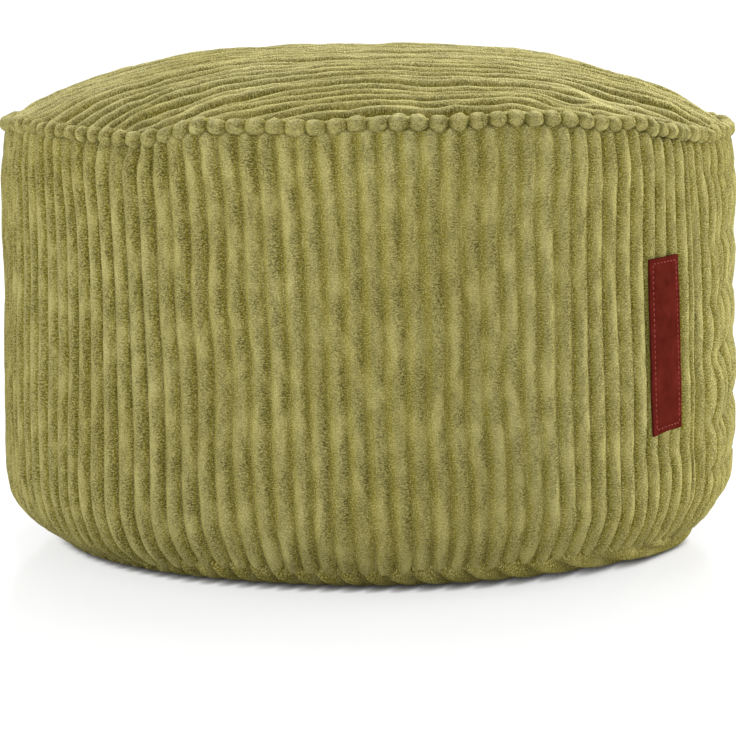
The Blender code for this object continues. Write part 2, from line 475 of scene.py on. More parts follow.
def rib_section(place, width=1.0):
    """Height of the pile across one rib, 0 in the valley and 1 on the crest."""
    across = np.minimum(np.abs(2 * (place % 1.0) - 1) / (width * (1 - VALLEY)), 1)
    return (1 - across ** 2.2) ** 0.8


def rib_tip(distance, reach):
    """How wide a rib still is this far from its end, as a share: a finger's tip."""
    return np.sqrt(1 - (1 - np.clip(distance / reach, 0.03, 1)) ** 2)


def strip_place(rib):
    """Where a rib lies on the strip, counted in whole ribs: the last one is cut in half."""
    return np.minimum(rib, RIB_COUNT - 1) + 0.5 * np.maximum(rib - (RIB_COUNT - 1), 0)


def rib_places(count):
    """Where the columns of this many ribs stand, counted in ribs."""
    return (np.arange(count)[:, None] + RIB_COLUMNS).ravel()


print("section of a rib:", np.round(rib_section(RIB_COLUMNS), 2))

# %% [markdown]
# ## Laying cloth on the body
#
# Each panel starts flat, as a grid primitive with a column of points for each column of its ribs. A
# few helpers then do what hands do: place the grid's points on the body, find which way the surface
# faces, lift the ribs along that, and keep where each point was in the flat cloth as a UV map in
# metres. The nodes read that map, so the pile follows the ribs wherever they bend.

# %% Helpers that turn a flat grid into a laid panel
def flat_cloth(name, columns, rows):
    """A grid primitive with this many columns and rows of faces."""
    deselect()
    bpy.ops.mesh.primitive_grid_add(x_subdivisions=columns, y_subdivisions=rows, size=1)
    cloth = bpy.context.object
    cloth.name = name
    cloth.data.name = name
    return cloth


def faces_of(points, round_about):
    """Outward direction at each point of a laid grid of rows and columns."""
    along = np.gradient(points, axis=0)
    if round_about:
        ring = points[:, :-1]
        turned = np.roll(ring, -1, axis=1) - np.roll(ring, 1, axis=1)
        across = np.concatenate([turned, turned[:, :1]], axis=1)
    else:
        across = np.gradient(points, axis=1)
    out = np.cross(across, along)
    return out / np.maximum(np.linalg.norm(out, axis=-1, keepdims=True), 1e-12)


def keep_values(mesh, name, values):
    """Stores one number a point, for the nodes to read."""
    layer = mesh.attributes.new(name, "FLOAT", "POINT")
    layer.data.foreach_set("value", np.ascontiguousarray(values, np.float32).ravel())


def lay(cloth, points, pile, tight, flat):
    """Moves the grid's points, and keeps the pile's height, its tightness and the flat cloth."""
    mesh = cloth.data
    mesh.vertices.foreach_set("co", points.reshape(-1, 3).ravel())
    keep_values(mesh, "pile", pile)
    keep_values(mesh, "tight", np.broadcast_to(tight, pile.shape))
    corners = np.empty(len(mesh.loops), np.int32)
    mesh.loops.foreach_get("vertex_index", corners)
    mesh.uv_layers[0].name = "Cloth"
    places = flat.reshape(-1, 2)[corners]
    mesh.uv_layers["Cloth"].data.foreach_set("uv", places.astype(np.float32).ravel())
    mesh.update()


def shade(piece, angle=180):
    pick(piece)
    bpy.ops.object.shade_smooth_by_angle(angle=math.radians(angle))


def open_edges(piece, nearest=0.01 * MM):
    """Merges points this near to each other, and leaves the open edges selected in edit mode."""
    pick(piece)
    bpy.ops.object.mode_set(mode="EDIT")
    bpy.ops.mesh.select_all(action="SELECT")
    bpy.ops.mesh.remove_doubles(threshold=nearest)
    bpy.ops.mesh.select_all(action="DESELECT")
    bpy.ops.mesh.select_mode(type="EDGE")
    bpy.ops.mesh.select_non_manifold(extend=False, use_wire=False, use_multi_face=False,
                                     use_non_contiguous=False, use_verts=False)


def finish_shell(piece):
    """Turns every face outwards, leaves edit mode, and shades and counts the piece."""
    bpy.ops.mesh.select_all(action="SELECT")
    bpy.ops.mesh.normals_make_consistent(inside=False)
    bpy.ops.object.mode_set(mode="OBJECT")
    shade(piece)
    print(f"{piece.name}: {sum(len(face.vertices) - 2 for face in piece.data.polygons)} triangles")


# %% [markdown]
# ## Where the label goes
#
# The label is sewn on before the cover is filled, so the ribs under it are pressed down, and swell
# up again just beyond its edge. The band has to know the label's place for that, so its outline is
# worked out first: a slip of leather, leaning a little, not quite square at its lower corner.

# %% The label's place and outline
label_low, label_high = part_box("label")
LABEL_SHIFT = 0.8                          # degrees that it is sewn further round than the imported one
label_centre = (label_low + label_high) / 2
LABEL_ANGLE = float(angle_at(label_centre.x, label_centre.y)) + LABEL_SHIFT
LABEL_MIDDLE = (label_low.z + label_high.z) / 2
LABEL_WIDTH = 28.5 * MM
LABEL_LENGTH = 101.5 * MM
LABEL_THICKNESS = 1.5 * MM
LABEL_LEAN = 2.0                           # degrees, its top towards the front
PRESSED_RIBS = 0.70                        # share of a rib's height left under the label


def label_places(across, up):
    """Angle and height for places on the flat label, with its outline's small errors."""
    share_across, share_up = across / (LABEL_WIDTH / 2), up / (LABEL_LENGTH / 2)
    bow = 0.9 * MM * (1 - share_up ** 2) * np.clip(-share_across, 0, 1)
    cut = 1.6 * MM * np.clip(-share_up, 0, 1) ** 4 * np.clip(-share_across, 0, 1)
    turn = math.radians(LABEL_LEAN)
    sideways = (across - bow) * math.cos(turn) - (up - cut) * math.sin(turn)
    upright = (across - bow) * math.sin(turn) + (up - cut) * math.cos(turn)
    return LABEL_ANGLE + np.degrees(sideways / RADIUS), LABEL_MIDDLE + upright


def under_label(angle, height):
    """1 under the label, 0 beyond its edge."""
    turn = math.radians(LABEL_LEAN)
    sideways, upright = np.radians(wrap(angle) - LABEL_ANGLE) * RADIUS, height - LABEL_MIDDLE
    across = sideways * math.cos(turn) + upright * math.sin(turn)
    up = -sideways * math.sin(turn) + upright * math.cos(turn)
    inside = np.minimum(LABEL_WIDTH / 2 - np.abs(across), LABEL_LENGTH / 2 - np.abs(up))
    return step((inside + 0.8 * MM) / (2.2 * MM))


print(f"label at {LABEL_ANGLE:.1f} degrees, {LABEL_MIDDLE / MM:.0f} mm up")

# %% [markdown]
# ## The side band
#
# The strip is laid round the body from the closing seam, all the way back to it. Its rows crowd
# together near both seams, where ribs round off and tuck in. The two ends are then merged, and the
# hidden edges bridged inside, so that the band is one closed shell.

# %% Place the strip's points on the body
BAND_ROWS = 76
TUCK_ROWS = 2                              # of them turn in at each edge
TUCKED_EDGES = ((TUCK_ROWS, TUCK_ROWS), (0, 0))
TUCK = 6 * MM                              # how far the band's edges turn in, out of sight


def row_shares(rows, crowding=0.5):
    """Shares of the way across, from 0 to 1, closer together near both ends."""
    even = np.linspace(0, 1, rows + 1)
    return even - crowding * np.sin(2 * math.pi * even) / (2 * math.pi)


# Places where a rib is knocked sideways: angle and half width in degrees, height and half height
# in millimetres, and degrees of sway
KNOCKS = table("angle half_width height half_height sway",
    (53, 9, 75, 7, -0.55),
    (36, 9, 42, 7, 0.45),
    (-37, 6, 250, 5, 0.80),
    (-22, 7, 196, 14, 0.25),
    (20, 10, 120, 18, -0.20),
)


def knocks(angle, height):
    """How far a rib is knocked sideways, in degrees."""
    total = 0.0
    for row in KNOCKS:
        shape = ((angle - row["angle"]) / row["half_width"]) ** 2
        shape = shape + ((height / MM - row["height"]) / row["half_height"]) ** 2
        total = total + row["sway"] * np.exp(-shape)
    return total


def band_angle(rib, height):
    """Angle round the stool of a place counted in ribs from the closing seam."""
    straight = CLOSING_ANGLE + strip_place(rib) * RIB_TURN
    past = wrap(straight - CLOSING_ANGLE)
    sway = GATHER_SWAY * (gather_shape(straight, height) / (1.5 * MM) - 0.5) * gather_share(straight)
    sway = sway * step((np.abs(past) - 0.5) / 5) + knocks(wrap(straight), height)
    drift = 0.16 * uneven(on_circle(RADIUS, straight, height), 75 * MM, 7)
    return straight + lean(straight, height) + sway + drift


def band_heights(angle):
    """Heights of the rows at one angle, evenly spaced along the cloth but for the crowding."""
    top = around(SEAMS, "top", angle) * MM - SEAM_DROP
    bottom = around(SEAMS, "bottom", angle) * MM
    heights = np.linspace(bottom, top, 120)
    radii = band_radius(angle, heights)
    length = np.concatenate([[0], np.cumsum(np.hypot(np.diff(heights), np.diff(radii)))])
    shares = row_shares(BAND_ROWS - 2 * TUCK_ROWS)
    return np.interp(shares * length[-1], length, heights), shares * length[-1]


ribs = np.append(rib_places(RIB_COUNT), RIB_COUNT)
laid = [band_heights(CLOSING_ANGLE + strip_place(rib) * RIB_TURN) for rib in ribs]
heights = np.stack([row[0] for row in laid], axis=1)
lengths = np.stack([row[1] for row in laid], axis=1)
angles = band_angle(ribs[None, :], heights)
print(f"band strip: {RIB_COUNT * RIB_PITCH / MM:.0f} mm long, {lengths[-1].mean() / MM:.0f} mm wide")

# %% Read the relief and lift the ribs
RELIEF_STEP = 4.0                          # degrees between two places where the relief is looked up
relief_angles = np.arange(-180, 181, RELIEF_STEP)
relief_heights = np.linspace(10 * MM, 265 * MM, 26)
coarse_angle, coarse_height = np.meshgrid(relief_angles, relief_heights)
coarse_points = on_circle(band_radius(coarse_angle, coarse_height), coarse_angle, coarse_height)
band_relief = relief_at(coarse_points, faces_of(coarse_points, False))
print(f"the fill pushed the band out by up to {band_relief.max() / MM:.1f} mm")
band_relief -= band_relief.mean(axis=1, keepdims=True)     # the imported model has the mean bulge


def band_skin(angle, height):
    """Radius of the finished band at the foot of its ribs."""
    row = (height - relief_heights[0]) / (relief_heights[1] - relief_heights[0])
    relief = read_between(band_relief, row, (wrap(angle) + 180) / RELIEF_STEP)
    slow = 0.7 * MM * uneven(on_circle(RADIUS, angle, height), 110 * MM, 4)
    return band_radius(angle, height) + band_folds(angle, height) + relief + slow


def uneven_ribs(rib, points, seed):
    """How tall each rib stands, as a share: each a little different, and crushed here and there."""
    draw = np.random.RandomState(seed)
    each = 1 + 0.07 * draw.normal(size=int(np.max(rib)) + 3)
    crushed = 1 + 0.09 * uneven(points, 34 * MM, seed + 1) + 0.05 * uneven(points, 9 * MM, seed + 2)
    return each[np.floor(rib).astype(int)] * crushed


def add_tucks(points, inward, drop):
    """Adds two rows at each end of a laid band, turned in out of sight."""
    top = [points[-1] + share * (inward[-1] * TUCK + drop) for share in (0.45, 1.0)]
    low = [points[0] + share * (inward[0] * TUCK - 0.5 * drop) for share in (1.0, 0.45)]
    return np.concatenate([[low[0], low[1]], points, [top[0], top[1]]])


tight = tightness(angles, heights)
taller = 0.88 + 0.46 * (tight - 0.5)          # squeezed ribs stand taller, and their foot lies deeper
ground = on_circle(band_skin(angles, heights) - (taller - 1) * RIB_HEIGHT, angles, heights)
outward = faces_of(ground, True)
to_top = lengths[-1] - lengths
width = np.minimum(rib_tip(to_top, 3.5 * MM + 4 * MM * tight), 0.80 + 0.20 * rib_tip(lengths, 4 * MM))
section = rib_section(np.broadcast_to(ribs, heights.shape), width)
full = (0.55 + 0.45 * width) * (1 - (1 - PRESSED_RIBS) * under_label(angles, heights))
tall = RIB_HEIGHT * taller * section * full
tall = tall * uneven_ribs(np.minimum(ribs, RIB_COUNT - 0.01), ground, 11)
band_points = ground + outward * tall[..., None]
centre_line = on_circle(1.0, angles, 0.0) * [1, 1, 0]
band_points = add_tucks(band_points, -centre_line, np.array([0, 0, 1.0 * MM]))
band_pile = np.pad(section * full, TUCKED_EDGES, mode="edge")
band_flat = np.stack([
    np.broadcast_to(strip_place(ribs) * RIB_PITCH, band_pile.shape),
    np.pad(lengths, TUCKED_EDGES, mode="reflect", reflect_type="odd"),
], axis=-1)
print(f"band points: {band_points.shape[0]} rows of {band_points.shape[1]}")

# %% Make the band, merge its ends and bridge its two open edges inside
side_band = flat_cloth("corduroy_side_band", band_points.shape[1] - 1, band_points.shape[0] - 1)
lay(side_band, band_points, band_pile, np.pad(tight, TUCKED_EDGES, mode="edge"), band_flat)
open_edges(side_band)
bpy.ops.mesh.bridge_edge_loops()
finish_shell(side_band)

# %% [markdown]
# ## The top panel
#
# The crown is one round of cloth, so its ribs are straight, parallel lines when seen from above. They
# run a little askew to the front. The fill domes it, and where the seam sags at either side of the
# front, the cloth creases softly up over the crown.

# %% The crown's shape
CROWN_POWER = 2.9
CROWN_EDGE = 255.5 * MM                    # height of the seam where the crown falls most
TOP_TURN = 10.0                            # degrees that the ribs are turned, seen from above
CROWN_RIB_HEIGHT = 1.65 * RIB_HEIGHT       # the crown's pile is less pressed, so its ribs stand tall
CROWN_FOOT = 2.10 * RIB_HEIGHT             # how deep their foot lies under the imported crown

# Creases up from the seam: place of the deepest point, direction of the crease, half its width and
# length in millimetres, and depth
CREASES = table("angle radius heading half_width half_length depth",
    (-30, 193, 17, 8, 42, 3.0),
    (38, 184, 60, 9, 42, 2.8),
    (54, 201, 32, 11, 26, 2.2),
    (13, 208, 7, 6, 26, 3.4),
    (42, 209, 40, 6, 14, 2.6),
    (-50, 214, -50, 24, 50, 4.0),
    (158, 190, 250, 24, 60, 3.0),
    (-112, 192, 160, 20, 50, 2.4),
)


def creases(x, y):
    """How far the crown's creases press in."""
    total = np.zeros(np.shape(x))
    for row in CREASES:
        place = on_circle(row["radius"] * MM, row["angle"], 0.0)
        turn = math.radians(row["heading"])
        along = (x - place[0]) * math.cos(turn) + (y - place[1]) * math.sin(turn)
        across = -(x - place[0]) * math.sin(turn) + (y - place[1]) * math.cos(turn)
        shape = np.exp(-((across / (row["half_width"] * MM)) ** 2))
        total += row["depth"] * MM * shape * np.exp(-((along / (row["half_length"] * MM)) ** 2))
    return total


# Where the seam draws the crown's ribs round with it: degrees at the rim, towards +X
DRAWN = table("angle half_width turn",
    (-56, 24, 4.5),
    (62, 18, -1.5),
)


def drawn_round(x, y):
    """Plan places moved round with the seam, most at the rim."""
    angle = angle_at(x, y)
    turn = np.zeros(np.shape(x))
    for row in DRAWN:
        turn += row["turn"] * np.exp(-(((angle - row["angle"]) / row["half_width"]) ** 2))
    turn = np.radians(turn * np.clip(np.hypot(x, y) / RIM_RADIUS, 0, 1) ** 5)
    return x * np.cos(turn) - y * np.sin(turn), x * np.sin(turn) + y * np.cos(turn)


def crown_tightness(x, y):
    """How tightly the crown's ribs are squeezed, which raises them and paints their valleys dark as
    painted shade: most beside the front, where the seam sags.
    """
    angle = angle_at(x, y)
    near_rim = step((np.hypot(x, y) - 110 * MM) / (90 * MM))
    corners = np.exp(-(((angle + 48) / 26) ** 2)) + np.exp(-(((angle - 66) / 22) ** 2))
    return 0.85 + 0.15 * near_rim * np.minimum(corners, 1)


def crown_height(x, y):
    """Height of the crown at the foot of its ribs, before the relief."""
    radius = np.hypot(x, y)
    seam = around(SEAMS, "top", angle_at(x, y)) * MM
    # The less a side drops to its seam, the rounder it is: the fill has pushed it up.
    power = CROWN_POWER - 0.055 * (seam - CROWN_EDGE) / MM
    power = power - 0.18 * np.exp(-(((angle_at(x, y) - 80) / 50) ** 2))
    fall = (CROWN_TOP - seam) * (radius / RADIUS) ** power
    dive = 4.5 * MM * np.clip(1 - (RIM_RADIUS - radius) / (7 * MM), 0, 1) ** 2
    return CROWN_TOP - fall - creases(x, y) - dive - CROWN_FOOT


print(f"crown at the front rim: {crown_height(0.0, -RIM_RADIUS) / MM:.1f} mm")

# %% [markdown]
# A round of cloth on a grid: every row of the grid is one line along a rib, from rim to rim, and its
# points crowd towards the rim. The first and last row shrink to a point at the edge, which is merged.

# %% Lay a round panel
def round_cloth(name, rib_pitch, reach, turn, along_points, crowding):
    """A grid and the plan places of a round panel: rows across the ribs, columns along them."""
    count = math.ceil(2 * reach / rib_pitch)
    rib = rib_places(count) - count / 2
    inside = np.abs(rib * rib_pitch) < reach * 0.9995
    rib = np.concatenate([[-reach / rib_pitch], rib[inside], [reach / rib_pitch]])
    across = rib * rib_pitch
    half = np.sqrt(np.maximum(reach ** 2 - across ** 2, 0))
    even = np.linspace(-1, 1, along_points + 1)
    shares = even + crowding * np.sin(math.pi * even) / math.pi
    along = shares[None, :] * half[:, None]
    across = np.broadcast_to(across[:, None], along.shape)
    heading = math.radians(turn)
    x = along * math.cos(heading) - across * math.sin(heading)
    y = along * math.sin(heading) + across * math.cos(heading)
    cloth = flat_cloth(name, along_points, len(rib) - 1)
    flat = np.stack([0.5 * rib_pitch - across, along], axis=-1)
    return cloth, x, y, np.broadcast_to(rib[:, None], x.shape), flat


def close_round(piece, towards):
    """Merges the two ends, and closes the open edge with a face drawn in and moved by towards."""
    open_edges(piece)
    for move, share in ((towards, 0.985), ((0, 0, 0), 0.93)):
        bpy.ops.mesh.extrude_region_move(TRANSFORM_OT_translate={"value": move})
        bpy.ops.transform.resize(value=(share, share, 1.0), center_override=(0, 0, 0))
    bpy.ops.mesh.edge_face_add()
    finish_shell(piece)


crown, top_x, top_y, top_rib, top_flat = round_cloth(
    "corduroy_top_panel", RIB_PITCH, RIM_RADIUS, TOP_TURN, 96, 0.45
)
print(f"top panel: {top_rib.max() - top_rib.min():.1f} ribs across")

# %% Read the relief and lift the crown's ribs
PLAN_PLACES = 44                           # steps of the square grid on which it is looked up


def crown_swelling():
    """Relief of the crown on a square grid in plan."""
    line = np.linspace(-RIM_RADIUS, RIM_RADIUS, PLAN_PLACES + 1)
    x, y = np.meshgrid(line, line)
    points = np.stack([x, y, crown_height(x, y)], axis=-1)
    return relief_at(points, faces_of(points, False))


def without_dome(relief):
    """The relief less its mean at each distance from the middle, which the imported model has."""
    line = np.linspace(-1, 1, len(relief))
    distance = np.hypot(*np.meshgrid(line, line)) * 11
    ring = np.round(distance).astype(int).ravel()
    means = np.bincount(ring, relief.ravel()) / np.bincount(ring)
    return relief - np.interp(distance, np.arange(len(means)), means)


def plan_place(along):
    """Where a plan coordinate lies on that grid."""
    return (along + RIM_RADIUS) / (2 * RIM_RADIUS) * PLAN_PLACES


crown_relief = crown_swelling()
print(f"the fill pushed the crown up by {crown_relief.max() / MM:.1f} mm")
crown_relief = without_dome(crown_relief)
wander = 1.5 * MM * uneven(np.stack([top_x, top_y, 0 * top_x], -1), 120 * MM, 21)
wander *= step((RIM_RADIUS - np.hypot(top_x, top_y)) / (30 * MM))
heading = math.radians(TOP_TURN)
top_x = top_x - wander * math.sin(heading)
top_y = top_y + wander * math.cos(heading)
top_x, top_y = drawn_round(top_x, top_y)
top_z = crown_height(top_x, top_y)
top_z = top_z + read_between(crown_relief, plan_place(top_y), plan_place(top_x))
top_z += 0.6 * MM * uneven(np.stack([top_x, top_y, top_z], -1), 70 * MM, 23)
ground = np.stack([top_x, top_y, top_z], axis=-1)
outward = faces_of(ground, False)
outward[outward[..., 2] < 0] *= -1
section = rib_section(top_rib + 0.5)
from_rim = RIM_RADIUS - np.hypot(top_x, top_y)
rounding = 0.45 + 0.55 * np.clip(from_rim / (5 * MM), 0, 1)
tight = crown_tightness(top_x, top_y)
taller = 1 + 0.40 * (tight - 0.4)
tall = CROWN_RIB_HEIGHT * taller * section * rounding
tall = tall * uneven_ribs(top_rib - top_rib.min() + 0.5, ground, 31)
lay(crown, ground + outward * tall[..., None], section * rounding, tight, top_flat)
close_round(crown, (0, 0, -3 * MM))

# %% [markdown]
# ## The base panel
#
# The base lies flat on the floor, and only its rim curls up to the bottom seam. Its ribs run on their
# own diagonal, because nobody lines up the underside. Where the stool rests on them they are pressed
# almost flat.

# %% The base
BASE_TURN = 62.0
PRESSED = 0.35                             # share of a rib's height that is left under the weight
# How dark the base's valleys are painted, a painted shade, as if its drawn-in rim squeezed its ribs.
BASE_TIGHT_SHADE = 0.9                           # the rim is drawn in, so its ribs are squeezed


def seam_radius(angle):
    """Radius of the bottom seam, over the ribs."""
    return band_radius(angle, around(SEAMS, "bottom", angle) * MM) + RIB_HEIGHT


def base_edge(angle):
    """Radius of the base panel's edge, just inside the seam."""
    return seam_radius(angle) - 1.0 * MM


BASE_REACH = float(base_edge(np.arange(-180.0, 180.0)).min())
STEEPEST_LIP = 2.5 * MM                    # least distance from the foot to the panel's edge


def base_height(x, y):
    """Height of the base over its ribs, before they are lifted off it."""
    radius = np.hypot(x, y)
    angle = angle_at(x, y)
    edge = base_edge(angle)
    foot = np.minimum(around(SEAMS, "foot", angle) * MM, edge - STEEPEST_LIP)
    run = np.clip((radius - foot) / (edge - foot), 0, 1)
    return around(SEAMS, "bottom", angle) * MM * (1 - np.sqrt(1 - 0.96 * run ** 2))


base, low_x, low_y, low_rib, low_flat = round_cloth(
    "corduroy_base_panel", RIB_PITCH, BASE_REACH, BASE_TURN, 64, 0.5
)
out = np.hypot(low_x, low_y) / BASE_REACH
grown = 1 + out ** 2 * (base_edge(angle_at(low_x, low_y)) / BASE_REACH - 1)
low_x, low_y = low_x * grown, low_y * grown
low_z = base_height(low_x, low_y)
free = step((low_z - 0.2 * MM) / (4 * MM))
height = RIB_HEIGHT * (PRESSED + (1.5 - PRESSED) * free)
ground = np.stack([low_x, low_y, low_z + height], axis=-1)
outward = -faces_of(ground, False)
outward[outward[..., 2] > 0] *= -1
section = rib_section(low_rib + 0.5)
from_rim = BASE_REACH * (1 - out)
rounding = 0.4 + 0.6 * np.clip(from_rim / (5 * MM), 0, 1)
places = ground + outward * (height * section * rounding)[..., None]
places[..., 2] = np.maximum(places[..., 2], 0.02 * MM)
lay(base, places, 0.16 * section * rounding, BASE_TIGHT_SHADE, low_flat)
close_round(base, (0, 0, 3 * MM))

# %% [markdown]
# ## The welt
#
# The welt is a strip cut across the ribs and folded over, so each rib goes round the fold and shows as
# one bead. It starts as a flat strip too, rolled into a tube along the seam. Its points are counted in
# ribs, so that every bead sits over a valley of the band below it, and no two beads are quite alike.

# %% Fold the welt over the top seam
# Where the columns of one bead stand: they crowd towards the neck, where the surface turns quickest.
BEAD_COLUMNS = np.array([0.0, 0.03, 0.08, 0.16, 0.27, 0.41, 0.59, 0.73, 0.84, 0.92, 0.97])
BEAD_NECK = 0.10                           # least thickness between two beads, as a share of a bead's
# How dark the necks between the beads are painted: a painted shade.
BEAD_TIGHT_SHADE = 0.5
WELT_SIDES = 18
WELT_LEVEL = 262 * MM                      # about the height of the top seam all round


def bead_shape(bead, turn, beads):
    """Thickness of the welt round its section, and how much of a bead is there."""
    number = np.floor(bead).astype(int) % RIB_COUNT
    place = 2 * (bead % 1.0) - 1
    skewed = place + 0.12 * beads["tilt"][number] * np.sin(turn) * (1 - place ** 2)
    bulge = np.sqrt(1 - np.minimum(np.abs(skewed), 1) ** 2.3)
    neck = np.maximum(beads["merged"][number], BEAD_NECK)
    size = 1 + (beads["size"][number] - 1) * bulge
    return (neck + (1 - neck) * bulge) * size, bulge


welt_columns = RIB_COUNT * len(BEAD_COLUMNS)
welt = flat_cloth("corduroy_top_welt", welt_columns, WELT_SIDES)
draw = np.random.RandomState(41)
beads = {"size": draw.normal(1.0, 0.07, RIB_COUNT), "tilt": draw.normal(0.0, 1.0, RIB_COUNT),
         "out": draw.normal(0.0, 0.40 * MM, RIB_COUNT), "up": draw.normal(0.0, 0.45 * MM, RIB_COUNT)}
bead_angles = CLOSING_ANGLE + (np.arange(RIB_COUNT) - 0.5) * RIB_TURN
# From the left of the front round to its middle, the pile of the beads has felted together.
felted = np.exp(-(((wrap(bead_angles) + 14) / 13) ** 2))
beads["merged"] = BEAD_NECK + 0.40 * felted
column = np.arange(welt_columns + 1) % welt_columns
number = column // len(BEAD_COLUMNS)
bead, turn = np.meshgrid(number + BEAD_COLUMNS[column % len(BEAD_COLUMNS)],
                         -np.linspace(0, 2 * math.pi, WELT_SIDES + 1))
thick, bulge = bead_shape(bead, turn, beads)
straight = CLOSING_ANGLE + strip_place((bead - 0.5) % RIB_COUNT) * RIB_TURN
angle = straight + lean(straight, WELT_LEVEL)
seam_height = around(SEAMS, "top", angle) * MM + beads["up"][number] * bulge
middle = on_circle(WELT_RADIUS + beads["out"][number] * bulge, angle, seam_height)
away = on_circle(np.cos(turn), angle, np.sin(turn))
folded = middle + away * (WELT_HALF * thick)[..., None]
lumps = 0.30 * MM * uneven(folded, 6.5 * MM, 43) + 0.22 * MM * uneven(folded, 3.4 * MM, 44)
folded += away * (lumps * bulge)[..., None]
welt_flat = np.stack([bead * RIB_PITCH, turn * WELT_HALF], axis=-1)
lay(welt, folded, bulge, BEAD_TIGHT_SHADE, welt_flat)
open_edges(welt, 0.001 * MM)
finish_shell(welt)

# %% [markdown]
# ## The leather label
#
# A slip of leather, cut by hand: not quite square, its long edges bowed a little where the pile pushes
# it, and drawn down along its stitching. It starts as a grid, bent to the band. Solidify gives the
# thickness of the leather, and a bevel its rubbed edge.

# %% Cut, bend and thicken the label
def name_cloth_map(piece, size):
    """Renames a primitive's UV map, and scales it to metres of the flat piece."""
    layer = piece.data.uv_layers[0]
    layer.name = "Cloth"
    flat = np.empty(len(layer.data) * 2)
    layer.data.foreach_get("uv", flat)
    layer.data.foreach_set("uv", (flat.reshape(-1, 2) * size).astype(np.float32).ravel())


STITCH_INSET = 3.0 * MM


def label_point(across, up, lift):
    """A point this far off the pressed ribs, where the label's outer face lies."""
    angle, height = label_places(across, up)
    foot = band_skin(np.full_like(angle, LABEL_ANGLE), height)
    return on_circle(foot + PRESSED_RIBS * RIB_HEIGHT + LABEL_THICKNESS + lift, angle, height)


def stitch_line(across, up):
    """1 on the line of stitches, fading out within a millimetre, and the distance to the edge."""
    edge = np.minimum(LABEL_WIDTH / 2 - np.abs(across), LABEL_LENGTH / 2 - np.abs(up))
    return np.exp(-(((edge - STITCH_INSET) / (0.9 * MM)) ** 2)), edge


label = flat_cloth("leather_label", 30, 100)
flat = positions(label.data)
across, up = flat[:, 0] * LABEL_WIDTH, flat[:, 1] * LABEL_LENGTH
drawn, edge = stitch_line(across, up)
puff = 0.25 * MM * step(edge / (6 * MM)) - 0.30 * MM * drawn
puff += 0.18 * MM * uneven(np.stack([across, up, 0 * up], -1), 21 * MM, 51)
label.data.vertices.foreach_set("co", label_point(across, up, puff).ravel())
name_cloth_map(label, (LABEL_WIDTH, LABEL_LENGTH))
apply_modifier(label, "SOLIDIFY", thickness=LABEL_THICKNESS, offset=-1.0)
apply_modifier(label, "BEVEL", width=0.35 * MM, segments=2, limit_method="ANGLE",
               angle_limit=math.radians(50))
shade(label, 40)
print(f"label: {LABEL_WIDTH / MM} x {LABEL_LENGTH / MM} mm, {len(label.data.polygons)} faces")

# %% [markdown]
# ## The label's stitches
#
# One stitch is a short thread that comes up through the leather and goes down again. It is modelled
# once, as a small sphere drawn out, and copied round the label three millimetres in from its edge.

# %% Sew the label on
STITCH_LENGTH = 2.3 * MM
STITCH_SPACING = 3.1 * MM
THREAD_HALF = 0.34 * MM


def stitch_places():
    """(across, up, heading) of each stitch, going once round the label."""
    half_width, half_length = LABEL_WIDTH / 2 - STITCH_INSET, LABEL_LENGTH / 2 - STITCH_INSET
    corners = [(-half_width, -half_length), (half_width, -half_length),
               (half_width, half_length), (-half_width, half_length)]
    places = []
    for start, end in zip(corners, corners[1:] + corners[:1]):
        side = Vector(end) - Vector(start)
        count = round(side.length / STITCH_SPACING)
        for number in range(count):
            place = Vector(start) + side * (number + 0.5) / count
            places.append((place.x, place.y, math.atan2(side.y, side.x)))
    return places


def first_stitch():
    deselect()
    bpy.ops.mesh.primitive_uv_sphere_add(segments=8, ring_count=8, radius=1)
    stitch = bpy.context.object
    bpy.ops.object.mode_set(mode="EDIT")
    bpy.ops.transform.resize(value=(STITCH_LENGTH / 2, THREAD_HALF, THREAD_HALF))
    bpy.ops.object.mode_set(mode="OBJECT")
    return stitch


pattern = first_stitch()
draw = np.random.RandomState(61)
threads = []
for across, up, turn in stitch_places():
    thread = pattern.copy()
    thread.data = pattern.data.copy()
    bpy.context.scene.collection.objects.link(thread)
    shape = positions(thread.data)
    sway = turn + draw.normal(0, 0.06)
    sideways = shape[:, 0] * math.cos(sway) - shape[:, 1] * math.sin(sway)
    upright = shape[:, 0] * math.sin(sway) + shape[:, 1] * math.cos(sway)
    arch = 0.25 * MM * (1 - (shape[:, 0] / (STITCH_LENGTH / 2)) ** 2)
    lift = shape[:, 2] + arch - 0.28 * MM
    placed = label_point(across + sideways, up + upright, lift)
    thread.data.vertices.foreach_set("co", placed.ravel())
    threads.append(thread)
bpy.data.objects.remove(pattern)
stitches = join(threads)
stitches.name = "label_stitches"
shade(stitches)
print(f"label: {len(threads)} stitches")

# %% [markdown]
# ## Finishes
#
# Every finish is built from the same few helpers: one turns a hex colour to linear, one adds a node
# with its settings and links, one starts a material, and one gives it to its pieces. Every pattern's
# scale is worked out from a real size.

# %% Helpers for finishes
def linear(code):
    """A hex sRGB colour as the linear colour that nodes take."""
    shares = [int(code[place:place + 2], 16) / 255 for place in (1, 3, 5)]
    return [s / 12.92 if s <= 0.04045 else ((s + 0.055) / 1.055) ** 2.4 for s in shares] + [1.0]


def add_node(tree, kind, links=None, **settings):
    """Adds a node. settings are its properties, and links its inputs: a socket, or a value."""
    node = tree.nodes.new(kind)
    for name, value in settings.items():
        setattr(node, name, value)
    for name, value in (links or {}).items():
        if isinstance(value, bpy.types.NodeSocket):
            tree.links.new(value, node.inputs[name])
        else:
            node.inputs[name].default_value = value
    return node


def start_material(name):
    """A new material, its nodes, and the shader that it comes with."""
    material = bpy.data.materials.new(name)
    material.use_nodes = True
    tree = material.node_tree
    return material, tree, tree.nodes["Principled BSDF"]


def dress(pieces, material):
    """Gives these pieces one finish."""
    for piece in pieces:
        piece.data.materials.clear()
        piece.data.materials.append(material)


def per_metre(size):
    """Scale of a noise whose features are about this size, on coordinates in metres."""
    return 1 / size


print("the middle grey of sRGB in linear light:", round(linear("#808080")[0], 3))
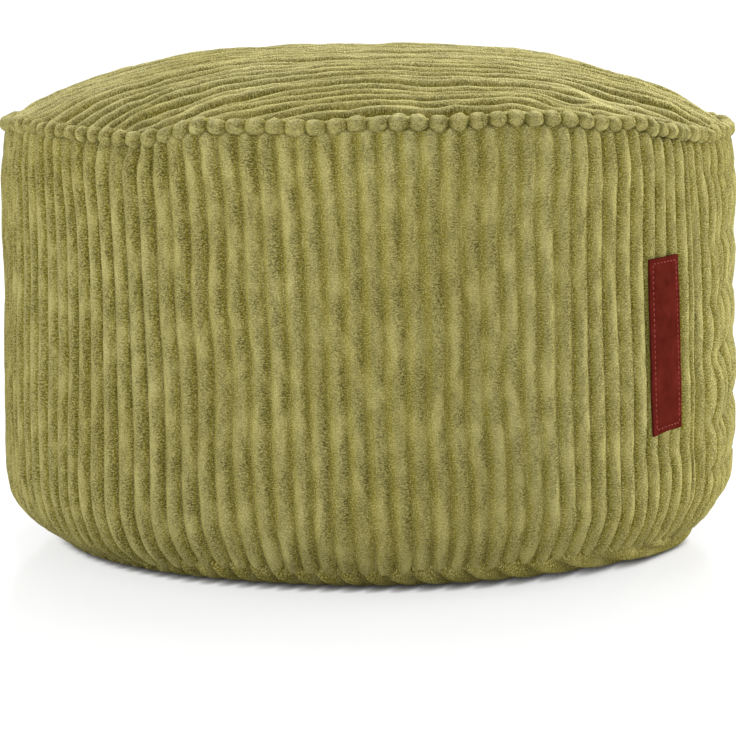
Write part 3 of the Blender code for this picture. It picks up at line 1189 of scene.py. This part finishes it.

# %% [markdown]
# ### Cut-pile corduroy
#
# Corduroy is woven cotton or polyester with extra threads that are cut and brushed up into ribs. The
# cut ends drink in light, so it is nearly matt, and the sides of the fibres give a soft sheen where
# the surface turns away. Where the pile parts, short cracks run across the rib, painted dark with the
# shade in them. Where it has been stroked flat, it is paler and smooth. The valleys show the ground
# cloth, and the tight ones are painted dark with the shade that falls in them. The crests are painted
# paler, partly for their cut ends and partly as a painted highlight, and one flank of each rib is
# painted darker, a painted shade.

# %% Where a point lies in the cloth, and the patterns of its pile
STROKE_WIDTH = 9 * MM
STROKE_LENGTH = 25 * MM
HANDLED_PATCH = 70 * MM
TUFT_WIDTH = 1.5 * MM                      # across the rib
TUFTS_PER_WIDTH = 1.9                      # along the rib, so that a tuft is 0.8 mm long
TIP_SIZE = 0.8 * MM                        # several times the real size, so that the tips show


def cloth_patterns(tree):
    """Sockets, by name, that the cracks, the colour and the relief are made from."""
    cloth = add_node(tree, "ShaderNodeUVMap", uv_map="Cloth").outputs["UV"]
    place = add_node(tree, "ShaderNodeTexCoord").outputs
    pile = add_node(tree, "ShaderNodeAttribute", attribute_name="pile").outputs["Fac"]
    tight = add_node(tree, "ShaderNodeAttribute", attribute_name="tight").outputs["Fac"]
    facing = add_node(tree, "ShaderNodeSeparateXYZ", {"Vector": place["Normal"]}).outputs["Z"]
    ribs_across = add_node(tree, "ShaderNodeMath", {
        0: add_node(tree, "ShaderNodeSeparateXYZ", {"Vector": cloth}).outputs["X"],
        1: 1 / RIB_PITCH}, operation="MULTIPLY").outputs[0]
    over_rib = add_node(tree, "ShaderNodeMath", {0: ribs_across}, operation="FRACT").outputs[0]

    # Strokes of the hand, each a patch drawn out along a rib, and the broad patches of handling.
    along_rib = add_node(tree, "ShaderNodeMapping", {
        "Vector": cloth, "Scale": (1.0, STROKE_WIDTH / STROKE_LENGTH, 1.0)})
    stroked = add_node(tree, "ShaderNodeTexNoise", {
        "Vector": along_rib.outputs["Vector"], "Scale": per_metre(STROKE_WIDTH),
        "Detail": 3.0, "Roughness": 0.6}).outputs["Fac"]
    broad = add_node(tree, "ShaderNodeTexNoise", {
        "Vector": place["Object"], "Scale": per_metre(HANDLED_PATCH), "Detail": 2.0}).outputs["Fac"]

    # Tufts of cut pile, wider than long, which part into short dark cracks, and their fibres' tips.
    across_rib = add_node(tree, "ShaderNodeMapping", {
        "Vector": cloth, "Scale": (1.0, TUFTS_PER_WIDTH, 1.0)})
    tufts = add_node(tree, "ShaderNodeTexNoise", {
        "Vector": across_rib.outputs["Vector"], "Scale": per_metre(TUFT_WIDTH),
        "Detail": 1.5, "Roughness": 0.5, "Distortion": 0.8}).outputs["Fac"]
    tips = add_node(tree, "ShaderNodeTexNoise", {
        "Vector": cloth, "Scale": per_metre(TIP_SIZE), "Detail": 1.0}).outputs["Fac"]
    return {"pile": pile, "tight": tight, "facing": facing, "over_rib": over_rib,
            "stroked": stroked, "broad": broad, "tufts": tufts, "tips": tips}


print(f"strokes are {STROKE_WIDTH / MM:.0f} mm wide, and tufts {TUFT_WIDTH / MM:.1f} mm")

# %% The cracks
PARTS_AT, GAPES_AT = 0.53, 0.41            # values of the tufts' noise between which a crack deepens
UNSTROKED = {"From Min": 0.62, "From Max": 0.42}    # where no stroke has laid the pile flat
FACING_UP = {"From Min": 0.2, "From Max": 0.8}      # from the side of the stool to its crown


def pile_cracks(tree, cloth):
    """How open the pile is: 1 in the depth of a crack, 0 where it stands closed."""
    parted = add_node(tree, "ShaderNodeMapRange", {
        "Value": cloth["tufts"], "From Min": PARTS_AT, "From Max": GAPES_AT}).outputs["Result"]
    on_rib = add_node(tree, "ShaderNodeMapRange", {
        "Value": cloth["pile"], "From Min": 0.10, "From Max": 0.55}).outputs["Result"]
    # Where a stroke has laid the pile flat, it parts less, and less still on top, where people sit.
    rough = add_node(tree, "ShaderNodeMapRange", {
        "Value": cloth["stroked"], **UNSTROKED, "To Min": 0.20}).outputs["Result"]
    sat_on = add_node(tree, "ShaderNodeMapRange", {
        "Value": cloth["facing"], **FACING_UP, "To Min": 0.72, "To Max": 0.30}).outputs["Result"]
    # More cracks, and so more painted shade, fall on the second flank of each rib, which is painted
    # darker too.
    far_flank_cracks = add_node(tree, "ShaderNodeMapRange", {
        "Value": cloth["over_rib"], "From Min": 0.25, "From Max": 0.65,
        "To Min": 0.45}).outputs["Result"]
    crack = parted
    for share in (rough, far_flank_cracks, on_rib, sat_on):
        crack = add_node(tree, "ShaderNodeMath", {0: crack, 1: share}, operation="MULTIPLY").outputs[0]
    return crack


print(f"the pile parts where the tufts' noise falls below {PARTS_AT}")

# %% The colour, from the ground cloth up to the cut ends
OLIVE = {
    "open_valley": "#8C8230", "shaded_tight_valley": "#4C420A", "flank": "#888026", "painted_shade_flank": "#5A500C",
    "crest": "#9C955E", "painted_highlight_crest": "#B6AF7E", "laid_flat": "#A9A26B", "handled": "#7C7120",
    "tip": "#C8C182", "crack": "#3F3500", "sheen": "#E8DC9A",
}
SHADE = {name: linear(code) for name, code in OLIVE.items()}


def pile_colour(tree, cloth, crack):
    """The corduroy's colour, laid on in layers, each by its own share."""
    # An open valley shows the ground cloth. A tight one is painted dark, a painted shade for the light
    # that cannot get in.
    colour = add_node(tree, "ShaderNodeMix", {
        "Factor": cloth["tight"], "A": SHADE["open_valley"], "B": SHADE["shaded_tight_valley"]},
        data_type="RGBA").outputs["Result"]
    # The flanks are deeper in colour and the crest is paler: partly the cut ends, and partly painted
    # light, a painted highlight on the crest and painted shade on the flanks.
    up_flank = add_node(tree, "ShaderNodeMapRange", {
        "Value": cloth["pile"], "From Max": 0.45}).outputs["Result"]
    to_crest = add_node(tree, "ShaderNodeMapRange", {
        "Value": cloth["pile"], "From Min": 0.40, "From Max": 0.98}).outputs["Result"]
    # Where the cloth faces up, on the crown, the crests are painted paler still: a painted highlight.
    on_top = add_node(tree, "ShaderNodeMapRange", {
        "Value": cloth["facing"], **FACING_UP}).outputs["Result"]
    crest = add_node(tree, "ShaderNodeMix", {
        "Factor": on_top, "A": SHADE["crest"], "B": SHADE["painted_highlight_crest"]},
        data_type="RGBA").outputs["Result"]
    # The second flank of each rib is painted deeper in colour, most where the cloth faces up: painted
    # shade.
    far_flank = add_node(tree, "ShaderNodeMapRange", {
        "Value": cloth["over_rib"], "From Min": 0.50, "From Max": 0.80}).outputs["Result"]
    up_facing_shade = add_node(tree, "ShaderNodeMapRange", {
        "Value": cloth["facing"], **FACING_UP, "To Min": 0.12, "To Max": 0.45}).outputs["Result"]
    flank_shade = add_node(tree, "ShaderNodeMath", {0: far_flank, 1: up_facing_shade}, operation="MULTIPLY").outputs[0]
    # Patches stroked flat are paler, handled ones are darker, and the tips of the fibres catch light.
    laid_flat = add_node(tree, "ShaderNodeMapRange", {
        "Value": cloth["stroked"], "From Min": 0.48, "From Max": 0.74,
        "To Max": 0.6}).outputs["Result"]
    handled = add_node(tree, "ShaderNodeMapRange", {
        "Value": cloth["broad"], "From Min": 0.35, "From Max": 0.68, "To Max": 0.4}).outputs["Result"]
    lit_tips = add_node(tree, "ShaderNodeMapRange", {
        "Value": cloth["tips"], "From Min": 0.44, "From Max": 0.64, "To Max": 0.55}).outputs["Result"]
    # The crack colour is painted shade, for the shade deep in the parted pile.
    for share, layer in (
        (up_flank, SHADE["flank"]), (to_crest, crest), (flank_shade, SHADE["painted_shade_flank"]),
        (laid_flat, SHADE["laid_flat"]), (handled, SHADE["handled"]), (lit_tips, SHADE["tip"]),
        (crack, SHADE["crack"]),
    ):
        colour = add_node(tree, "ShaderNodeMix", {
            "Factor": share, "A": colour, "B": layer}, data_type="RGBA").outputs["Result"]
    return colour


print("the crest in linear light:", [round(value, 3) for value in SHADE["crest"]])

# %% The pile's fine relief, and the whole corduroy
def pile_relief(tree, cloth):
    """Tufts and tips as a bump, lower where the pile is stroked flat."""
    combed = add_node(tree, "ShaderNodeMapRange", {
        "Value": cloth["stroked"], **UNSTROKED, "To Min": 0.45}).outputs["Result"]
    deep = add_node(tree, "ShaderNodeMath", {
        0: cloth["tufts"], 1: combed}, operation="MULTIPLY").outputs[0]
    height = add_node(tree, "ShaderNodeMath", {
        0: cloth["tips"], 1: 0.35, 2: deep}, operation="MULTIPLY_ADD").outputs[0]
    return add_node(tree, "ShaderNodeBump", {
        "Height": height, "Distance": 2.9 * MM, "Strength": 1.0}).outputs["Normal"]


def corduroy():
    material, tree, shader = start_material("olive_jumbo_corduroy")
    cloth = cloth_patterns(tree)
    colour = pile_colour(tree, cloth, pile_cracks(tree, cloth))
    tree.links.new(colour, shader.inputs["Base Color"])
    tree.links.new(pile_relief(tree, cloth), shader.inputs["Normal"])
    for name, value in (("Roughness", 0.95), ("Specular IOR Level", 0.0), ("Sheen Weight", 0.13),
                        ("Sheen Roughness", 0.30), ("Sheen Tint", SHADE["sheen"])):
        shader.inputs[name].default_value = value
    return material


CORDUROY_PIECES = (side_band, crown, base, welt)
dress(CORDUROY_PIECES, corduroy())
print("corduroy on four pieces")

# %% [markdown]
# ### Dyed leather and its thread
#
# The label is full-grain leather dyed dark red, a little cloudy, with a fine pebbled grain. It is so
# matt that it takes no highlight. The thread is polyester, a shade lighter and pinker than the
# leather, and slightly shiny.

# %% The leather's and the thread's nodes
def label_leather():
    material, tree, shader = start_material("dyed_label_leather")
    place = add_node(tree, "ShaderNodeTexCoord").outputs["Object"]
    grain = add_node(tree, "ShaderNodeTexVoronoi", {
        "Vector": place, "Scale": per_metre(0.9 * MM), "Randomness": 1.0},
        feature="SMOOTH_F1").outputs["Distance"]
    cloudy = add_node(tree, "ShaderNodeTexNoise", {
        "Vector": place, "Scale": per_metre(11 * MM), "Detail": 4.0, "Roughness": 0.6}).outputs["Fac"]
    colour = add_node(tree, "ShaderNodeMix", {
        "Factor": add_node(tree, "ShaderNodeMapRange", {
            "Value": cloudy, "From Min": 0.32, "From Max": 0.70}).outputs["Result"],
        "A": linear("#43150F"), "B": linear("#561E17")}, data_type="RGBA")
    tree.links.new(colour.outputs["Result"], shader.inputs["Base Color"])
    rough = add_node(tree, "ShaderNodeMapRange", {
        "Value": cloudy, "From Min": 0.3, "From Max": 0.7, "To Min": 0.58, "To Max": 0.72})
    tree.links.new(rough.outputs["Result"], shader.inputs["Roughness"])
    bump = add_node(tree, "ShaderNodeBump", {"Height": grain, "Distance": 0.12 * MM, "Strength": 0.7})
    tree.links.new(bump.outputs["Normal"], shader.inputs["Normal"])
    shader.inputs["IOR"].default_value = 1.5
    shader.inputs["Specular IOR Level"].default_value = 0.0
    return material


def stitch_thread():
    material, tree, shader = start_material("red_polyester_thread")
    place = add_node(tree, "ShaderNodeTexCoord").outputs["Object"]
    twist = add_node(tree, "ShaderNodeTexNoise", {
        "Vector": place, "Scale": per_metre(0.9 * MM), "Detail": 2.0}).outputs["Fac"]
    colour = add_node(tree, "ShaderNodeMix", {
        "Factor": twist, "A": linear("#741B15"), "B": linear("#98342A")}, data_type="RGBA")
    tree.links.new(colour.outputs["Result"], shader.inputs["Base Color"])
    shader.inputs["Roughness"].default_value = 0.5
    shader.inputs["Specular IOR Level"].default_value = 0.15
    return material


dress([label], label_leather())
dress([stitches], stitch_thread())
print("leather and thread done")

# %% [markdown]
# ## Floor, light and camera
#
# A product studio: a white, slightly glossy acrylic table under a white sky. The strongest soft light
# comes from high behind, and picks out the crests of the crown's ribs. Two low ones stand at the
# sides, the stronger at the right. They graze the front, so that the cracks in the pile show, and a
# wide, weak one in front softens their shade. A sun with a wide angle acts as such a light, and it
# lights the whole table evenly. The sky that the camera sees, straight or in the table, is pure white,
# and gives less light.

# %% The floor
MOST_GLOW = 0.85                           # share of the table's brightness that comes from within


def floor_material():
    material, tree, shader = start_material("white_acrylic_table")
    tree.nodes.remove(shader)
    # Under the stool, within a few millimetres, the table's colour is painted nearly black: a painted
    # contact shadow.
    under = add_node(tree, "ShaderNodeAmbientOcclusion", {"Distance": 9 * MM}, samples=8).outputs["AO"]
    under = add_node(tree, "ShaderNodeMapRange", {
        "Value": under, "From Min": 0.08, "From Max": 0.42}).outputs["Result"]
    white = add_node(tree, "ShaderNodeMix", {
        "Factor": under, "A": (0.03, 0.03, 0.03, 1), "B": (0.84, 0.84, 0.84, 1)}, data_type="RGBA")
    matt = add_node(tree, "ShaderNodeBsdfDiffuse", {"Color": white.outputs["Result"]}).outputs["BSDF"]
    gloss = add_node(tree, "ShaderNodeBsdfGlossy", {
        "Color": (1, 1, 1, 1), "Roughness": 0.15}).outputs["BSDF"]
    glow = add_node(tree, "ShaderNodeEmission", {
        "Color": (1, 1, 1, 1), "Strength": 1.07}).outputs["Emission"]
    polished = add_node(tree, "ShaderNodeMixShader", {0: 0.5, 1: matt, 2: gloss})
    # The table glows as if lit from within, but its glow is taken away under the stool and a little all
    # round it: a painted shadow. It lights nothing, so the stool keeps its own shading.
    straight = add_node(tree, "ShaderNodeLightPath").outputs["Is Camera Ray"]
    beside = add_node(tree, "ShaderNodeAmbientOcclusion", {
        "Distance": 110 * MM}, samples=8).outputs["AO"]
    beside = add_node(tree, "ShaderNodeMapRange", {"Value": beside, "To Min": 0.80}).outputs["Result"]
    share = under
    for factor in (beside, MOST_GLOW, straight):
        share = add_node(tree, "ShaderNodeMath", {0: factor, 1: share}, operation="MULTIPLY").outputs[0]
    both = add_node(tree, "ShaderNodeMixShader", {0: share, 1: polished.outputs["Shader"], 2: glow})
    tree.links.new(both.outputs["Shader"], tree.nodes["Material Output"].inputs["Surface"])
    return material


deselect()
bpy.ops.mesh.primitive_plane_add(size=60)
floor = bpy.context.object
floor.name = "white_floor"
floor.data.materials.append(floor_material())
print("a white table, left out of the library's model")

# %% The sky and the lights
def sky(seen, given):
    """A white sky: seen is its strength to the camera and in the table, given what it lights with."""
    world = bpy.data.worlds.new("studio_white")
    bpy.context.scene.world = world
    world.use_nodes = True
    tree = world.node_tree
    background = tree.nodes["Background"]
    background.inputs["Color"].default_value = (1, 1, 1, 1)
    rays = add_node(tree, "ShaderNodeLightPath").outputs
    in_sight = add_node(tree, "ShaderNodeMath", {0: rays["Is Camera Ray"], 1: rays["Is Glossy Ray"]},
                        operation="MAXIMUM").outputs[0]
    strength = add_node(tree, "ShaderNodeMapRange", {"Value": in_sight, "To Min": given, "To Max": seen})
    tree.links.new(strength.outputs["Result"], background.inputs["Strength"])


LIGHT_DISTANCE = 3                         # a sun's distance changes nothing in the picture


def far_softbox(name, angle, elevation, strength, wide):
    """A sun from this angle round the stool and this far up, as wide as a large soft light."""
    data = bpy.data.lights.new(name, "SUN")
    data.energy = strength
    data.angle = math.radians(wide)
    light = bpy.data.objects.new(name, data)
    rise = math.radians(elevation)
    light.location = on_circle(
        LIGHT_DISTANCE * math.cos(rise), angle, LIGHT_DISTANCE * math.sin(rise))
    light.rotation_euler = (-light.location).to_track_quat("-Z", "Y").to_euler()
    bpy.context.scene.collection.objects.link(light)


sky(seen=1.0, given=0.25)
far_softbox("left_softbox", angle=-74, elevation=13, strength=1.74, wide=40)
far_softbox("right_softbox", angle=114, elevation=17, strength=4.0, wide=32)
far_softbox("front_softbox", angle=2, elevation=5, strength=1.86, wide=60)
far_softbox("top_softbox", angle=172, elevation=58, strength=5.3, wide=32)
print("a white sky and four soft lights")

# %% The camera
CAMERA_DISTANCE = 2.2
CAMERA_HEIGHT = 0.419
CAMERA_AIM = 0.102                         # height on the stool's middle line
CAMERA_LENS = 176.2

camera_data = bpy.data.cameras.new("product_camera")
camera_data.lens = CAMERA_LENS
camera_data.sensor_width = 36.0
camera_data.dof.use_dof = False
camera = bpy.data.objects.new("product_camera", camera_data)
camera.location = (0, -CAMERA_DISTANCE, CAMERA_HEIGHT)
view_line = Vector((0, 0, CAMERA_AIM)) - camera.location
camera.rotation_euler = view_line.to_track_quat("-Z", "Y").to_euler()
bpy.context.scene.collection.objects.link(camera)
bpy.context.scene.camera = camera
bpy.context.scene.view_settings.view_transform = "Standard"
bpy.context.scene.view_settings.look = "None"
print(f"camera {CAMERA_DISTANCE} m in front and {CAMERA_HEIGHT} m up, with a {CAMERA_LENS} mm lens")

# %% [markdown]
# ## The pieces on the body
#
# Each piece rides on the one body and stands for its imported node, which is hidden.

# %% Bind the pieces to the imported model
STANDS_FOR = (
    (side_band, "side_band", "corduroy"),
    (crown, "top_panel", "corduroy"),
    (base, "base_panel", "corduroy"),
    (welt, "top_welt", "corduroy"),
    (label, "label", "label_leather"),
)
for piece, node, finish in STANDS_FOR:
    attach(piece, "root")
    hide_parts(node)
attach(stitches, "root")
print(f"{len(STANDS_FOR)} pieces stand for packed nodes, {len(CORDUROY_PIECES)} of them padded")
